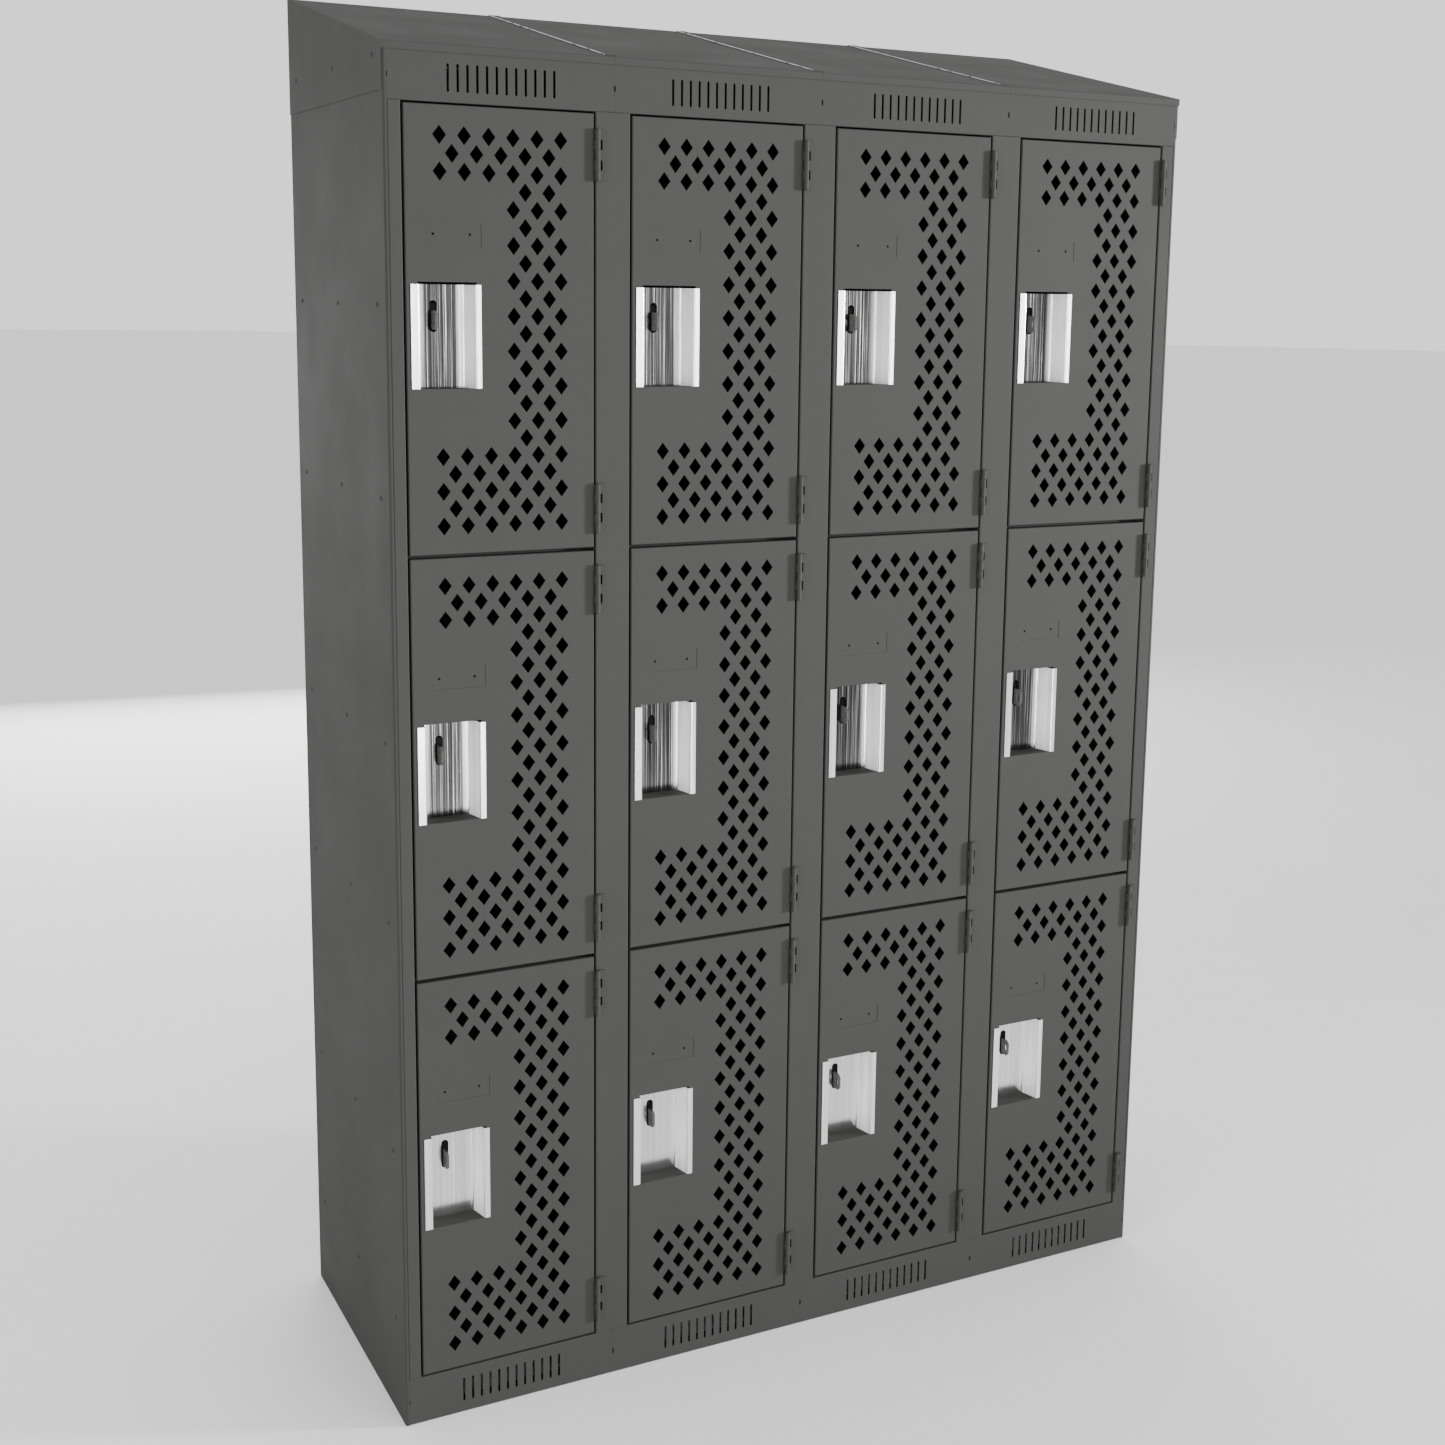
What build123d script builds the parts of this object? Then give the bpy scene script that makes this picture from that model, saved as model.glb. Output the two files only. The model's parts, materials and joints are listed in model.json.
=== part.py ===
"""Bank of ventilated steel lockers: four columns of three doors under a sloping top.

Millimetres. X runs along the front, Y from the front to the back and Z up. The origin is on the
floor, in the middle of the cabinet's footprint.
"""

import os

from build123d import *

# Overall size
COLUMNS = 4
TIERS = ("bottom", "middle", "top")
COLUMN_WIDTH = 304.8
FRONT_HEIGHT = 1828.8
DEPTH = 457.2
SLOPE_RISE = 101.6
BASE_RAIL_HEIGHT = 66.8
HEADER_HEIGHT = 68.0

# Sheet gauges
FRAME_SHEET = 1.5
DOOR_SHEET = 1.5
PANEL_SHEET = 1.2
PARTITION_SHEET = 0.8
BEND = 1.6
SHEET_CLEARANCE = 0.1
OVERLAP = 1.0

# Hinges: a barrel of five knuckles in front of the gap at the door's right edge
HINGE_X = 280.0
HINGE_LENGTH = 64.0
HINGE_FROM_DOOR_END = 20.0
HINGE_LEAF = 1.6
FRAME_LEAF_END_X = 290.6
HINGE_NOTCH_END_X = 287.4
HINGE_NOTCH_DEPTH = 7.0
KNUCKLE_RADIUS = 3.4
KNUCKLE_COUNT = 5
KNUCKLE_GAP = 0.3
BARREL_GAP = 0.4
PIN_RADIUS = 1.5
PIN_CLEARANCE = 0.05
PIN_HEAD_RADIUS = 2.6
PIN_HEAD = 1.0

# Where things are across the depth, with the barrels' front and the back panel level about Y = 0
BARREL_PROUD = 2 * KNUCKLE_RADIUS + BARREL_GAP
FRONT_Y = -(DEPTH - BARREL_PROUD) / 2
BACK_Y = FRONT_Y + DEPTH
HINGE_Y = FRONT_Y - BARREL_GAP - KNUCKLE_RADIUS

# Front frame, measured from a column's left boundary
UPRIGHT_WIDTH = 22.0
HINGE_UPRIGHT_X = 278.6
JAMB_DEPTH = 18.0
STOP_LIP = 6.5
SEAM = PARTITION_SHEET / 2
RAIL_JOINT = 0.05
INNER_FLANGE = 24.0
SIDE_RETURN = 5.0
RAIL_GAP = 0.1
RAIL_FLANGE = 17.0
ANCHOR_FLANGE = 40.0
ANCHOR_HOLE_RADIUS = 4.5
ANCHOR_SPACING = 203.2
ANCHOR_FROM_FRONT = 26.0
WALL_ANCHOR_Z = 1670.0

# Vent slots in the header and the base rail
VENT_COUNT = 12
VENT_PITCH = 12.7
VENT_WIDTH = 3.2
VENT_HEIGHT = 34.0
HEADER_VENT_DROP = 4.0
JOINT_TICK_WIDTH = 0.9
JOINT_TICK_HEIGHT = 7.0

# Doors, measured from a column's left boundary and from the tier's middle
DOOR_LEFT = 25.0
DOOR_RIGHT = 276.0
DOOR_WIDTH = DOOR_RIGHT - DOOR_LEFT
DOOR_X = (DOOR_LEFT + DOOR_RIGHT) / 2
DOOR_END_GAP = 2.3
DOOR_DEPTH = 15.0
RETURN_LIP = 12.0
TIER_HEIGHT = (FRONT_HEIGHT - HEADER_HEIGHT - BASE_RAIL_HEIGHT) / len(TIERS)
DOOR_HEIGHT = TIER_HEIGHT - 2 * DOOR_END_GAP

# Diamond vents: full rows at both ends of a door, a narrow strip beside the handle
DIAMOND_WIDTH = 18.0
DIAMOND_HEIGHT = 23.5
DIAMOND_PITCH_X = 32.0
DIAMOND_PITCH_Z = 22.15
DIAMOND_ROWS = 23
DIAMONDS_ACROSS = 6
FULL_ROWS_AT_TOP = 3
FULL_ROWS_AT_BOTTOM = 5
STRIP_FIRST_COLUMN = 3

# Recessed handle pan, measured from a column's left boundary
PAN_HEIGHT = 130.0
PAN_DROP = 4.0
PAN_DEPTH = 30.0
PAN_SHEET = 0.9
PAN_LEFT = 31.1
PAN_MOUTH_LEFT = 42.3
PAN_BACK_RIGHT = 108.7
PAN_MOUTH_RIGHT = 115.3
PAN_RIGHT = 122.5
PAN_BEND = 2.0
POCKET_CUT_LEFT = 40.0
POCKET_CUT_RIGHT = 117.2
POCKET_SHEET = 1.2
POCKET_TOP_GAP = 3.0

# Lift latch, its slot and its guide studs
SLOT_X = 69.0
SLOT_Z = 25.2
SLOT_HEIGHT = 40.0
SLOT_WIDTH = 10.0
LATCH_TRAVEL = 10.0
LATCH_GAP = 1.5
LATCH_SHEET = 2.0
LATCH_NOSE_X = 31.5
LATCH_NOSE_WIDTH = 9.0
LATCH_NOSE_LOW = -4.0
LATCH_PLATE_LOW = 14.0
LATCH_PLATE_HIGH = 42.0
LATCH_RIGHT_X = 100.0
STUD_RADIUS = 2.0
STUD_HEAD_RADIUS = 3.6
STUD_HEAD = 1.2
STUD_CLEARANCE = 0.2
STUD_Z = 31.0
STUD_XS = (52.0, 88.0)
TONGUE_X = 68.2
TONGUE_SHEET = 3.0
TONGUE_REACH = 17.0
TONGUE_HEIGHT = 24.3
TONGUE_BOTTOM = 8.2
TONGUE_CORNER = 4.5
PADLOCK_HOLE_WIDTH = 7.0
PADLOCK_HOLE_HEIGHT = 11.0
PADLOCK_HOLE_IN = 7.0

# Strike on the jamb
STRIKE_END_X = 29.0
STRIKE_FRONT = 4.0
STRIKE_BACK = 31.0
STRIKE_HEIGHT = 18.0
STRIKE_Z = -5.0
STRIKE_BEND = 1.0

# Number plate seat
PLATE_LEFT = 51.4
PLATE_WIDTH = 72.5
PLATE_HEIGHT = 29.0
PLATE_BELOW_DOOR_TOP = 157.0
PLATE_SEAT = 0.4
PLATE_HOLE_RADIUS = 1.6
PLATE_HOLE_SPACING = 48.0
PLATE_HOLE_OFFSET = -2.8

# Shelves, coat hooks and rivets
SHELF_FLANGE = 12.0
SHELF_CLEARANCE = 0.3
HOOK_WIRE = 2.5
HOOK_DROP = 22.0
HOOK_BEND = 10.0
HOOK_TIP = 14.0
HOOK_PLATE = (46.0, 18.0, 2.0)
RIVET_RADIUS = 3.0
RIVET_HEAD = 0.9
RIVET_DOME = 0.7
SIDE_RIVET_DEPTHS = (42.0, DEPTH / 2, DEPTH - 38.0)
SIDE_RIVET_HEIGHTS = (73.0, 317.0)
CAP_RIVET_DROP = 12.0

# Sloping top
SLOPE_LIP_PROUD = 1.4
SLOPE_LIP_DROP = 8.0
SLOPE_LIFT = 1.6
SLOPE_LAP = 10.0
SLOPE_LAP_BACK = 6.0
SLOPE_LAP_GAP = 0.1
SLOPE_JOINT = 0.1
SLOPE_BEND = 1.5
END_CAP_SHEET = 1.0
END_CAP_SKIRT = 56.0


def column_left(column):
    """X of a column's left boundary, with columns counted from 0 at the left."""
    return (column - COLUMNS / 2) * COLUMN_WIDTH


def tier_floor(tier):
    """Z of the line between a tier and the one below."""
    return BASE_RAIL_HEIGHT + tier * TIER_HEIGHT


def front_plane(x, z, behind=0.0):
    """Plane facing the user, behind the frame's front face, with local axes +X and +Z."""
    return Plane(origin=(x, FRONT_Y + behind, z), x_dir=(1, 0, 0), z_dir=(0, -1, 0))


def side_plane(x):
    """Plane facing +X, with local axes +Y and +Z."""
    return Plane(origin=(x, 0, 0), x_dir=(0, 1, 0), z_dir=(1, 0, 0))


def save(part, name):
    """Label a finished piece and write it to its own file."""
    part.label = name
    export_step(part, f"parts/{name}.step")


def folded_section(plane, points, side, sheet, length, bend=BEND):
    """Sheet folded along a profile whose points lie on its outer face, and extruded."""
    with BuildPart() as section:
        with BuildSketch(plane):
            with BuildLine():
                FilletPolyline(*points, radius=bend)
                offset(amount=sheet, side=side)
            make_face()
        extrude(amount=length)
    return section.part


def upright(boundary, points, side, hinged):
    """Frame member folded from a profile about a boundary, notched for the door's knuckles."""
    places = [(boundary + x, FRONT_Y + y) for x, y in points]
    length = FRONT_HEIGHT - HEADER_HEIGHT - BASE_RAIL_HEIGHT
    base = Plane.XY.offset(BASE_RAIL_HEIGHT)
    with BuildPart() as member:
        add(folded_section(base, places, side, FRAME_SHEET, length))
        if hinged:
            edge = boundary - COLUMN_WIDTH
            for middle in hinge_heights():
                for bottom, span in knuckle_spans((1, 3)):
                    low = (edge + HINGE_UPRIGHT_X - OVERLAP, FRONT_Y - OVERLAP, middle + bottom)
                    high = (edge + HINGE_NOTCH_END_X, FRONT_Y + HINGE_NOTCH_DEPTH, low[2] + span)
                    add(block(low, high), mode=Mode.SUBTRACT)
    return member.part


def end_upright(hand):
    """Member beside a side panel: inner flange, face, jamb and door stop."""
    width = UPRIGHT_WIDTH if hand > 0 else COLUMN_WIDTH - HINGE_UPRIGHT_X
    start = SIDE_RETURN + RAIL_GAP
    lip = JAMB_DEPTH - FRAME_SHEET
    points = (
        (hand * start, INNER_FLANGE),
        (hand * start, 0),
        (hand * width, 0),
        (hand * width, lip),
        (hand * (width + STOP_LIP), lip),
    )
    side = Side.LEFT if hand > 0 else Side.RIGHT
    return upright(-hand * COLUMNS / 2 * COLUMN_WIDTH, points, side, hand < 0)


def shared_upright(boundary):
    """Member between two doors: a face with a jamb and a door stop on both sides."""
    left = HINGE_UPRIGHT_X - COLUMN_WIDTH
    lip = JAMB_DEPTH - FRAME_SHEET
    points = (
        (left - STOP_LIP, lip),
        (left, lip),
        (left, 0),
        (UPRIGHT_WIDTH, 0),
        (UPRIGHT_WIDTH, lip),
        (UPRIGHT_WIDTH + STOP_LIP, lip),
    )
    return upright(boundary, points, Side.LEFT, True)


def end_inset(column, hand):
    """Distance of a column's frame from its boundary: more beside a side panel."""
    at_end = column == (0 if hand > 0 else COLUMNS - 1)
    return SIDE_RETURN + RAIL_GAP if at_end else SEAM


def vent_rail(column, bottom, top, lower_flange, vent_z):
    """Channel across one column with a row of vertical slots."""
    start = column_left(column) + end_inset(column, 1)
    end = column_left(column + 1) - end_inset(column, -1)
    middle = column_left(column) + COLUMN_WIDTH / 2
    profile = (
        (FRONT_Y + lower_flange, bottom),
        (FRONT_Y, bottom),
        (FRONT_Y, top),
        (FRONT_Y + RAIL_FLANGE, top),
    )
    channel = folded_section(side_plane(start), profile, Side.RIGHT, FRAME_SHEET, end - start)
    reach_left = SEAM - RAIL_JOINT if column > 0 else 0
    reach_right = SEAM - RAIL_JOINT if column < COLUMNS - 1 else 0
    face_low = (start - reach_left, FRONT_Y, bottom + BEND)
    face_high = (end + reach_right, FRONT_Y + FRAME_SHEET, top - BEND)
    with BuildPart() as rail:
        add(channel)
        add(block(face_low, face_high))
        with BuildSketch(front_plane(middle, vent_z)):
            with GridLocations(VENT_PITCH, 0, VENT_COUNT, 1):
                SlotOverall(VENT_HEIGHT, VENT_WIDTH, rotation=90)
            with Locations((start - middle, 0), (end - middle, 0)):
                Rectangle(2 * JOINT_TICK_WIDTH, JOINT_TICK_HEIGHT)
        extrude(amount=-2 * FRAME_SHEET, mode=Mode.SUBTRACT)
        if lower_flange > RAIL_FLANGE:
            with BuildSketch(Plane.XY.offset(bottom)):
                with Locations((middle, FRONT_Y + ANCHOR_FROM_FRONT)):
                    with GridLocations(ANCHOR_SPACING, 0, 2, 1):
                        Circle(ANCHOR_HOLE_RADIUS)
            extrude(amount=FRAME_SHEET, mode=Mode.SUBTRACT)
    return rail.part


def side_panel(hand):
    """Side sheet with a soft bend and a short return at the front."""
    x = hand * COLUMNS / 2 * COLUMN_WIDTH
    points = ((x - hand * SIDE_RETURN, FRONT_Y), (x, FRONT_Y), (x, BACK_Y))
    side = Side.LEFT if hand > 0 else Side.RIGHT
    return folded_section(Plane.XY, points, side, PANEL_SHEET, FRONT_HEIGHT, 2 * BEND)


def partition(column):
    """Sheet between two columns, behind the frame's faces."""
    front = FRONT_Y + FRAME_SHEET + SHEET_CLEARANCE
    back = BACK_Y - PANEL_SHEET
    with BuildPart() as panel:
        with BuildSketch(side_plane(column_left(column) - SEAM)):
            with Locations(((front + back) / 2, FRONT_HEIGHT / 2)):
                Rectangle(back - front, FRONT_HEIGHT)
        extrude(amount=PARTITION_SHEET)
    return panel.part


def back_panel(column):
    """Rear sheet of one column with two wall anchor holes."""
    left = column_left(column) + (PANEL_SHEET if column == 0 else SEAM)
    right = column_left(column + 1) - (PANEL_SHEET if column == COLUMNS - 1 else SEAM)
    middle = column_left(column) + COLUMN_WIDTH / 2
    with BuildPart() as panel:
        with BuildSketch(front_plane((left + right) / 2, FRONT_HEIGHT / 2, DEPTH)):
            Rectangle(right - left, FRONT_HEIGHT)
        extrude(amount=PANEL_SHEET)
        with BuildSketch(front_plane(middle, WALL_ANCHOR_Z, DEPTH)):
            with GridLocations(ANCHOR_SPACING, 0, 2, 1):
                Circle(ANCHOR_HOLE_RADIUS)
        extrude(amount=PANEL_SHEET, mode=Mode.SUBTRACT)
    return panel.part


def shelf(column, top):
    """Shelf pan with flanges turned down on all four sides."""
    left = column_left(column) + end_inset(column, 1) + FRAME_SHEET + SHELF_CLEARANCE
    right = column_left(column + 1) - end_inset(column, -1) - FRAME_SHEET - SHELF_CLEARANCE
    front = FRONT_Y + JAMB_DEPTH + SHELF_CLEARANCE
    back = BACK_Y - PANEL_SHEET - SHELF_CLEARANCE
    centre = ((left + right) / 2, (front + back) / 2)
    with BuildPart() as pan:
        with BuildSketch(Plane.XY.offset(top)):
            with Locations(centre):
                Rectangle(right - left, back - front)
        extrude(amount=-SHELF_FLANGE)
        with BuildSketch(Plane.XY.offset(top - PANEL_SHEET)):
            with Locations(centre):
                Rectangle(right - left - 2 * PANEL_SHEET, back - front - 2 * PANEL_SHEET)
        extrude(amount=-SHELF_FLANGE, mode=Mode.SUBTRACT)
    return pan.part


def slope_height(y):
    """Z of the sloping top's upper face at a given depth."""
    front = FRONT_Y - SLOPE_LIP_PROUD
    return FRONT_HEIGHT + SLOPE_LIFT + SLOPE_RISE * (y - front) / (BACK_Y - front)


def slope_section(column):
    """One column's sloping sheet, with its front hem, back wall and the lap over its neighbour."""
    front = FRONT_Y - SLOPE_LIP_PROUD
    left = column_left(column) + SLOPE_JOINT
    profile = (
        (front, FRONT_HEIGHT - SLOPE_LIP_DROP),
        (front, slope_height(front)),
        (BACK_Y, slope_height(BACK_Y)),
        (BACK_Y, FRONT_HEIGHT + RAIL_GAP),
    )
    width = COLUMN_WIDTH - 2 * SLOPE_JOINT
    sheet = folded_section(side_plane(left), profile, Side.RIGHT, PANEL_SHEET, width, SLOPE_BEND)
    with BuildPart() as section:
        add(sheet)
        if column > 0:
            lap_front = front + SLOPE_LAP
            lap_back = BACK_Y - BEND
            strips = ((left - SLOPE_LAP, SLOPE_LAP, SLOPE_LAP_GAP), (left, SLOPE_LAP_BACK, 0))
            for start, length, gap in strips:
                with BuildSketch(side_plane(start)):
                    Polygon(
                        (lap_front, slope_height(lap_front) + gap),
                        (lap_back, slope_height(lap_back) + gap),
                        (lap_back, slope_height(lap_back) + PANEL_SHEET),
                        (lap_front, slope_height(lap_front) + PANEL_SHEET),
                        align=None,
                    )
                extrude(amount=length)
    return section.part


def slope_end_cap(hand):
    """Plate that closes the sloping top's end and laps down over the side panel."""
    x = hand * COLUMNS / 2 * COLUMN_WIDTH
    front = FRONT_Y + BEND
    skirt = FRONT_HEIGHT - END_CAP_SKIRT
    with BuildPart() as cap:
        with BuildSketch(side_plane(x)):
            Polygon(
                (front, skirt),
                (BACK_Y, skirt),
                (BACK_Y, slope_height(BACK_Y)),
                (FRONT_Y - SLOPE_LIP_PROUD, slope_height(FRONT_Y - SLOPE_LIP_PROUD)),
                (FRONT_Y - SLOPE_LIP_PROUD, FRONT_HEIGHT - SLOPE_LIP_DROP),
                (front, FRONT_HEIGHT - SLOPE_LIP_DROP),
                align=None,
            )
        extrude(amount=hand * END_CAP_SHEET)
    return cap.part


def knuckle_spans(indices):
    """Bottom and length of the chosen knuckles, from the hinge's middle."""
    length = (HINGE_LENGTH - (KNUCKLE_COUNT - 1) * KNUCKLE_GAP) / KNUCKLE_COUNT
    return [(index * (length + KNUCKLE_GAP) - HINGE_LENGTH / 2, length) for index in indices]


def knuckle(centre, bottom, length):
    """One hinge knuckle with its bore."""
    with BuildPart() as tube:
        with BuildSketch(Plane.XY.offset(bottom)):
            with Locations(centre):
                Circle(KNUCKLE_RADIUS)
                Circle(PIN_RADIUS + PIN_CLEARANCE, mode=Mode.SUBTRACT)
        extrude(amount=length)
    return tube.part


def block(low, high):
    """Rectangular plate between two corners."""
    with BuildPart() as plate:
        with BuildSketch(Plane.XY.offset(low[2])):
            with Locations(((low[0] + high[0]) / 2, (low[1] + high[1]) / 2)):
                Rectangle(high[0] - low[0], high[1] - low[1])
        extrude(amount=high[2] - low[2])
    return plate.part


def hinge_heights():
    """Z of the middle of every hinge in a column."""
    reach = DOOR_HEIGHT / 2 - HINGE_FROM_DOOR_END - HINGE_LENGTH / 2
    middles = [tier_floor(tier) + TIER_HEIGHT / 2 for tier in range(len(TIERS))]
    return [middle + side * reach for middle in middles for side in (-1, 1)]


def frame_hinge_leaf(middle):
    """Frame half of a hinge: a leaf on the upright's face and three knuckles."""
    back = FRONT_Y
    front = FRONT_Y - HINGE_LEAF
    inner = HINGE_X + KNUCKLE_RADIUS + KNUCKLE_GAP
    half = HINGE_LENGTH / 2
    with BuildPart() as leaf:
        add(block((inner, front, middle - half), (FRAME_LEAF_END_X, back, middle + half)))
        for bottom, length in knuckle_spans((1, 3)):
            low = middle + bottom
            notch = (inner - OVERLAP, front - OVERLAP, low)
            add(block(notch, (HINGE_NOTCH_END_X, back + OVERLAP, low + length)), mode=Mode.SUBTRACT)
        for bottom, length in knuckle_spans((0, 2, 4)):
            low = middle + bottom
            add(block((HINGE_X, front, low), (inner + OVERLAP, back, low + length)))
            add(knuckle((HINGE_X, HINGE_Y), low, length))
    return leaf.part


def door_hinge(middle):
    """Door half of a hinge: a leaf on the door's edge, two knuckles and the pin."""
    half = HINGE_LENGTH / 2
    with BuildPart() as leaf:
        add(
            block(
                (DOOR_RIGHT, FRONT_Y + KNUCKLE_GAP, middle - half),
                (DOOR_RIGHT + HINGE_LEAF, FRONT_Y + DOOR_DEPTH - BEND, middle + half),
            )
        )
        for bottom, length in knuckle_spans((1, 3)):
            low = middle + bottom
            link_high = (DOOR_RIGHT + HINGE_LEAF, FRONT_Y + OVERLAP, low + length)
            add(block((DOOR_RIGHT, HINGE_Y, low), link_high))
            add(knuckle((HINGE_X, HINGE_Y), low, length))
    with BuildPart() as pin:
        with BuildSketch(Plane.XY.offset(middle - half - KNUCKLE_GAP)):
            with Locations((HINGE_X, HINGE_Y)):
                Circle(PIN_RADIUS)
        extrude(amount=HINGE_LENGTH + 2 * KNUCKLE_GAP)
        for end, direction in ((middle - half - KNUCKLE_GAP, -1), (middle + half + KNUCKLE_GAP, 1)):
            with BuildSketch(Plane.XY.offset(end)):
                with Locations((HINGE_X, HINGE_Y)):
                    Circle(PIN_HEAD_RADIUS)
            extrude(amount=direction * PIN_HEAD)
    return leaf.part, pin.part


def diamond_centres():
    """Centres of the diamond vents from the middle of the door."""
    centres = []
    for row in range(DIAMOND_ROWS):
        z = ((DIAMOND_ROWS - 1) / 2 - row) * DIAMOND_PITCH_Z
        full = row < FULL_ROWS_AT_TOP or row >= DIAMOND_ROWS - FULL_ROWS_AT_BOTTOM
        shift = 0.5 if row % 2 else 0.0
        first = 0 if full else STRIP_FIRST_COLUMN
        last = DIAMONDS_ACROSS - (1 if row % 2 else 0)
        for column in range(first, last):
            x = (column + shift - (DIAMONDS_ACROSS - 1) / 2) * DIAMOND_PITCH_X
            centres.append((x, z))
    return centres


def door_panel():
    """Folded door sheet with diamond vents, the handle's cut-out and the number plate's seat."""
    pocket_x = (POCKET_CUT_LEFT + POCKET_CUT_RIGHT) / 2
    pocket_width = POCKET_CUT_RIGHT - POCKET_CUT_LEFT
    pocket_z = POCKET_TOP_GAP / 2 - PAN_DROP
    pocket_height = PAN_HEIGHT + POCKET_TOP_GAP
    plate_x = PLATE_LEFT + PLATE_WIDTH / 2
    plate_z = DOOR_HEIGHT / 2 - PLATE_BELOW_DOOR_TOP
    with BuildPart() as door:
        with BuildSketch(front_plane(DOOR_X, 0)):
            Rectangle(DOOR_WIDTH, DOOR_HEIGHT)
        extrude(amount=-DOOR_DEPTH)
        fillet(door.faces().sort_by(Axis.Y)[0].edges(), radius=DOOR_SHEET)
        with BuildSketch(front_plane(DOOR_X, 0, DOOR_SHEET)):
            Rectangle(DOOR_WIDTH - 2 * DOOR_SHEET, DOOR_HEIGHT - 2 * DOOR_SHEET)
        extrude(amount=-(DOOR_DEPTH - 2 * DOOR_SHEET), mode=Mode.SUBTRACT)
        with BuildSketch(front_plane(DOOR_X, 0, DOOR_DEPTH - DOOR_SHEET)):
            Rectangle(DOOR_WIDTH - 2 * RETURN_LIP, DOOR_HEIGHT - 2 * RETURN_LIP)
        extrude(amount=-DOOR_SHEET, mode=Mode.SUBTRACT)
        with BuildSketch(front_plane(DOOR_X, 0)):
            with Locations(*diamond_centres()):
                Polygon(
                    (0, -DIAMOND_HEIGHT / 2),
                    (DIAMOND_WIDTH / 2, 0),
                    (0, DIAMOND_HEIGHT / 2),
                    (-DIAMOND_WIDTH / 2, 0),
                )
        extrude(amount=-DOOR_SHEET, mode=Mode.SUBTRACT)
        with BuildSketch(front_plane(pocket_x, pocket_z)):
            Rectangle(pocket_width, pocket_height)
        extrude(amount=-DOOR_DEPTH, mode=Mode.SUBTRACT)
        with BuildSketch(front_plane(pocket_x, pocket_z)):
            with GridLocations(0, pocket_height + POCKET_SHEET, 1, 2):
                Rectangle(pocket_width, POCKET_SHEET)
        extrude(amount=-(PAN_DEPTH + PAN_SHEET))
        with BuildSketch(front_plane(plate_x, plate_z)):
            Rectangle(PLATE_WIDTH, PLATE_HEIGHT)
        extrude(amount=-PLATE_SEAT, mode=Mode.SUBTRACT)
        with BuildSketch(front_plane(plate_x + PLATE_HOLE_OFFSET, plate_z)):
            with GridLocations(PLATE_HOLE_SPACING, 0, 2, 1):
                Circle(PLATE_HOLE_RADIUS)
        extrude(amount=-DOOR_SHEET, mode=Mode.SUBTRACT)
    return door.part


def handle_pan():
    """Bent handle pan with the latch's slot and two guide studs on its back."""
    centre = -PAN_DROP
    profile = (
        (PAN_LEFT, -PAN_SHEET),
        (PAN_MOUTH_LEFT, -PAN_SHEET),
        (PAN_MOUTH_LEFT, PAN_DEPTH),
        (PAN_BACK_RIGHT, PAN_DEPTH),
        (PAN_MOUTH_RIGHT, -PAN_SHEET),
        (PAN_RIGHT, -PAN_SHEET),
    )
    points = [(x, FRONT_Y + y) for x, y in profile]
    base = Plane.XY.offset(centre - PAN_HEIGHT / 2)
    sheet = folded_section(base, points, Side.LEFT, PAN_SHEET, PAN_HEIGHT, PAN_BEND)
    back = PAN_DEPTH + PAN_SHEET
    stud_length = 2 * LATCH_GAP + LATCH_SHEET - STUD_CLEARANCE
    with BuildPart() as pan:
        add(sheet)
        with BuildSketch(front_plane(SLOT_X, centre + SLOT_Z, PAN_DEPTH)):
            SlotOverall(SLOT_HEIGHT, SLOT_WIDTH, rotation=90)
        extrude(amount=-PAN_SHEET, mode=Mode.SUBTRACT)
        for stud_x in STUD_XS:
            with BuildSketch(front_plane(stud_x, centre + STUD_Z, back)):
                Circle(STUD_RADIUS)
            extrude(amount=-stud_length)
            with BuildSketch(front_plane(stud_x, centre + STUD_Z, back + stud_length)):
                Circle(STUD_HEAD_RADIUS)
            extrude(amount=-STUD_HEAD)
    return pan.part


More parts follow.
